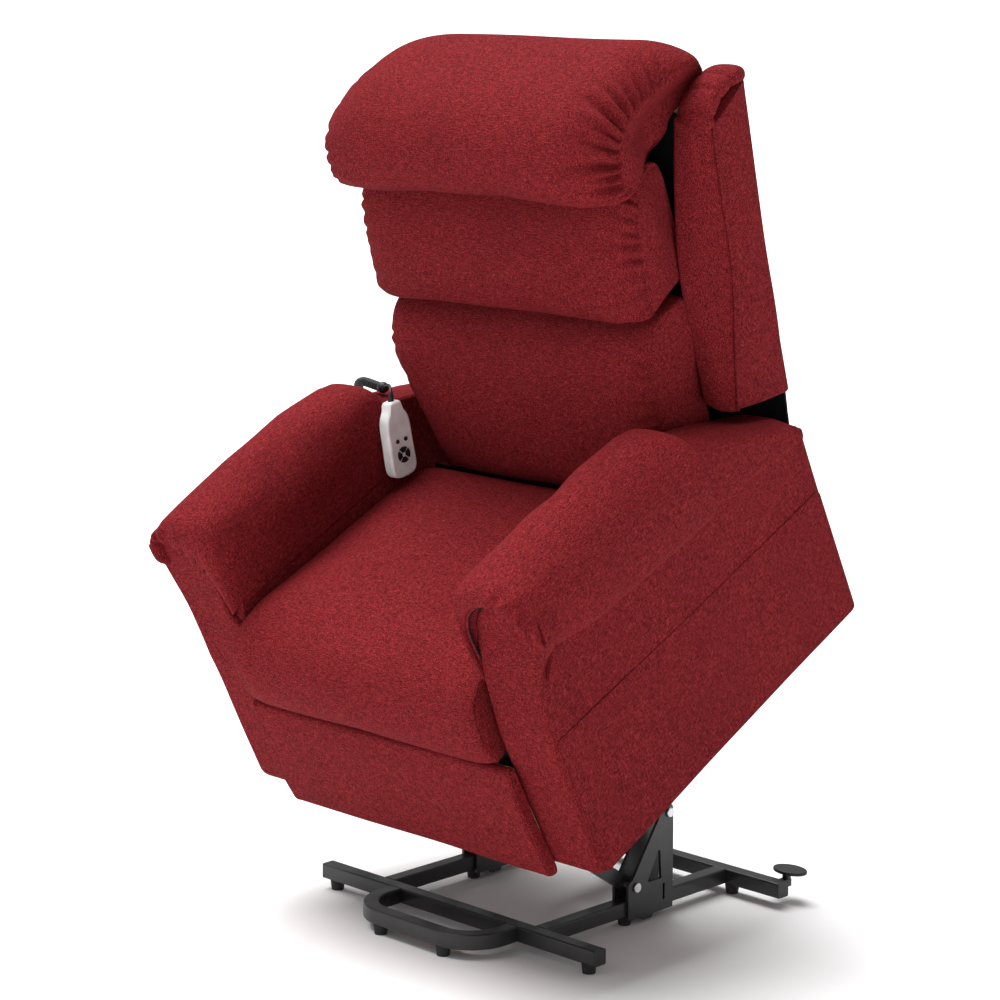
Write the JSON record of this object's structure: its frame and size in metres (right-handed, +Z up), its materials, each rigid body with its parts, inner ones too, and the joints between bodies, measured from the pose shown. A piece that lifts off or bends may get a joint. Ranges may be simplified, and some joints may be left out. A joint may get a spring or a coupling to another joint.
{
  "type": "lift recliner chair",
  "caption": "Wing-back powered lift recliner chair with pillow back, padded arms, footrest, corded handset and tubular lift base, shown raised.",
  "frame": {"origin": "on the floor, at the middle of the chair's width and of its depth with the lift raised", "axes": "+Z up, the chair's front faces -Y, +X is to the right of someone facing the chair"},
  "size_m": [0.824, 0.7844, 1.3889],
  "materials": {
    "upholstery": "woven chenille, matt",
    "upholstery_frame": "planed timber",
    "powder_coat": "fine satin black powder coat",
    "plated_steel": "zinc plated",
    "spring_wire": "drawn wire",
    "foot_rubber": "matt",
    "black_plastic": "fine texture",
    "actuator_plastic": "fine texture",
    "handset_case": "satin moulded",
    "button_rubber": "satin",
    "cord_jacket": "satin"
  },
  "bodies": {
    "base": {"front_cross_tube": "powder_coat", "front_loop_tube": "powder_coat", "side_rails": "powder_coat", "rear_cross_tube": "powder_coat", "tube_end_caps": "black_plastic", "rubber_feet": "foot_rubber", "pivot_brackets": "powder_coat", "base_pivot_pins": "plated_steel", "rear_floor_pads": "black_plastic", "lift_actuator_clevis": "powder_coat"},
    "lower_arms": {"lower_lift_arms": "powder_coat", "lower_cross_tube": "powder_coat"},
    "upper_arms": {"upper_lift_arms": "powder_coat", "lift_torque_tube": "powder_coat"},
    "lift_actuator": {"lift_actuator_housing": "actuator_plastic"},
    "lift_rod": {"lift_actuator_rod": "plated_steel"},
    "seat": {"seat_frame_rails": "powder_coat", "mechanism_plates": "powder_coat", "chair_pivot_plates": "powder_coat", "chair_pivot_pins": "plated_steel", "seat_springs": "spring_wire", "seat_cushion": "upholstery", "arm_wood_frames": "upholstery_frame", "left_arm_shell": "upholstery", "right_arm_shell": "upholstery", "left_arm_front_panel": "upholstery", "right_arm_front_panel": "upholstery", "left_arm_pad": "upholstery", "right_arm_pad": "upholstery", "control_box": "black_plastic", "power_inlet": "black_plastic", "footrest_actuator_housing": "actuator_plastic", "handset_rear_shell": "handset_case", "handset_front_shell": "handset_case", "handset_cord_gland": "black_plastic", "handset_cord_curly": "cord_jacket", "handset_cord_tail": "cord_jacket"},
    "back": {"back_frame": "upholstery_frame", "back_drive_tube": "powder_coat", "back_outer_panel": "upholstery", "left_wing": "upholstery", "right_wing": "upholstery", "lower_back_pillow": "upholstery", "middle_back_pillow": "upholstery", "head_back_pillow": "upholstery"},
    "recline_actuator": {"recline_actuator_housing": "actuator_plastic"},
    "recline_rod": {"recline_actuator_rod": "plated_steel"},
    "footrest_rear": {"footrest_drive_shaft": "powder_coat", "footrest_rear_links": "powder_coat", "footrest_link_pins": "plated_steel"},
    "footrest_front": {"footrest_front_links": "powder_coat"},
    "footrest": {"footrest_board": "upholstery_frame", "footrest_pad": "upholstery"},
    "footrest_rod": {"footrest_actuator_rod": "plated_steel"},
    "left_preset_button_cap": {"left_preset_button": "button_rubber"},
    "right_preset_button_cap": {"right_preset_button": "button_rubber"},
    "recline_button_cap": {"recline_button": "button_rubber"},
    "raise_button_cap": {"raise_button": "button_rubber"},
    "footrest_button_cap": {"footrest_button": "button_rubber"},
    "lower_button_cap": {"lower_button": "button_rubber"}
  },
  "joints": [
    {"name": "lift", "type": "hinge", "parent": "base", "child": "lower_arms", "pos_m": [0, 0.09268, 0.062], "axis": [-1, 0, 0], "range_deg": [-26.1, 0]},
    {"name": "chair_tilt", "type": "hinge", "parent": "lower_arms", "child": "seat", "pos_m": [0, -0.18014, 0.24461], "axis": [-1, 0, 0], "range_deg": [0, 54.38]},
    {"name": "upper_arm_swing", "type": "hinge", "parent": "base", "child": "upper_arms", "pos_m": [0, 0.16868, 0.169], "axis": [-1, 0, 0], "range_deg": [-24.31, 0]},
    {"name": "lift_actuator_swing", "type": "hinge", "parent": "base", "child": "lift_actuator", "pos_m": [0, 0.32068, 0.064], "axis": [-1, 0, 0], "range_deg": [-11.33, 0]},
    {"name": "lift_stroke", "type": "slide", "parent": "lift_actuator", "child": "lift_rod", "axis": [0, -0.9776, 0.2107], "range_m": [-0.03692, 0]},
    {"name": "recline", "type": "hinge", "parent": "seat", "child": "back", "pos_m": [0, 0.18254, 0.6915], "axis": [-1, 0, 0], "range_deg": [0, 30]},
    {"name": "recline_actuator_swing", "type": "hinge", "parent": "seat", "child": "recline_actuator", "pos_m": [-0.06, -0.10047, 0.42592], "axis": [-1, 0, 0], "range_deg": [-0.2488, 0]},
    {"name": "recline_stroke", "type": "slide", "parent": "recline_actuator", "child": "recline_rod", "axis": [0, 0.8649, 0.5019], "range_m": [-0.04658, 0]},
    {"name": "footrest", "type": "hinge", "parent": "seat", "child": "footrest_rear", "pos_m": [0, -0.17018, 0.40776], "axis": [-1, 0, 0], "range_deg": [0, 105]},
    {"name": "footrest_front_swing", "type": "hinge", "parent": "footrest_rear", "child": "footrest_front", "pos_m": [0, -0.04999, 0.31801], "axis": [1, 0, 0], "range_deg": [0, 88.63]},
    {"name": "footrest_board_swing", "type": "hinge", "parent": "footrest_front", "child": "footrest", "pos_m": [0, -0.21859, 0.27391], "axis": [-1, 0, 0], "range_deg": [0, 73.63]},
    {"name": "footrest_stroke", "type": "slide", "parent": "seat", "child": "footrest_rod", "axis": [0, -0.8809, -0.4733], "range_m": [0, 0.09525]},
    {"name": "left_preset_button_press", "type": "slide", "parent": "seat", "child": "left_preset_button_cap", "axis": [-1, 0, 0], "range_m": [0, 0.001], "stiffness_N_per_m": 400, "springref_m": -0.001},
    {"name": "right_preset_button_press", "type": "slide", "parent": "seat", "child": "right_preset_button_cap", "axis": [-1, 0, 0], "range_m": [0, 0.001], "stiffness_N_per_m": 400, "springref_m": -0.001},
    {"name": "recline_button_press", "type": "slide", "parent": "seat", "child": "recline_button_cap", "axis": [-1, 0, 0], "range_m": [0, 0.001], "stiffness_N_per_m": 400, "springref_m": -0.001},
    {"name": "raise_button_press", "type": "slide", "parent": "seat", "child": "raise_button_cap", "axis": [-1, 0, 0], "range_m": [0, 0.001], "stiffness_N_per_m": 400, "springref_m": -0.001},
    {"name": "footrest_button_press", "type": "slide", "parent": "seat", "child": "footrest_button_cap", "axis": [-1, 0, 0], "range_m": [0, 0.001], "stiffness_N_per_m": 400, "springref_m": -0.001},
    {"name": "lower_button_press", "type": "slide", "parent": "seat", "child": "lower_button_cap", "axis": [-1, 0, 0], "range_m": [0, 0.001], "stiffness_N_per_m": 400, "springref_m": -0.001}
  ],
  "couplings": [
    {"joint": "chair_tilt", "follows": "lift", "ratio": -2.0824},
    {"joint": "upper_arm_swing", "follows": "lift", "ratio": 0.93103},
    {"joint": "lift_actuator_swing", "follows": "lift", "ratio": 0.43374},
    {"joint": "lift_stroke", "follows": "lift", "m_per_rad": 0.081018},
    {"joint": "recline_actuator_swing", "follows": "recline", "ratio": -0.008289},
    {"joint": "recline_stroke", "follows": "recline", "m_per_rad": -0.088921},
    {"joint": "footrest_front_swing", "follows": "footrest", "ratio": 0.84371},
    {"joint": "footrest_board_swing", "follows": "footrest", "ratio": 0.70085},
    {"joint": "footrest_stroke", "follows": "footrest", "m_per_rad": 0.051949}
  ]
}
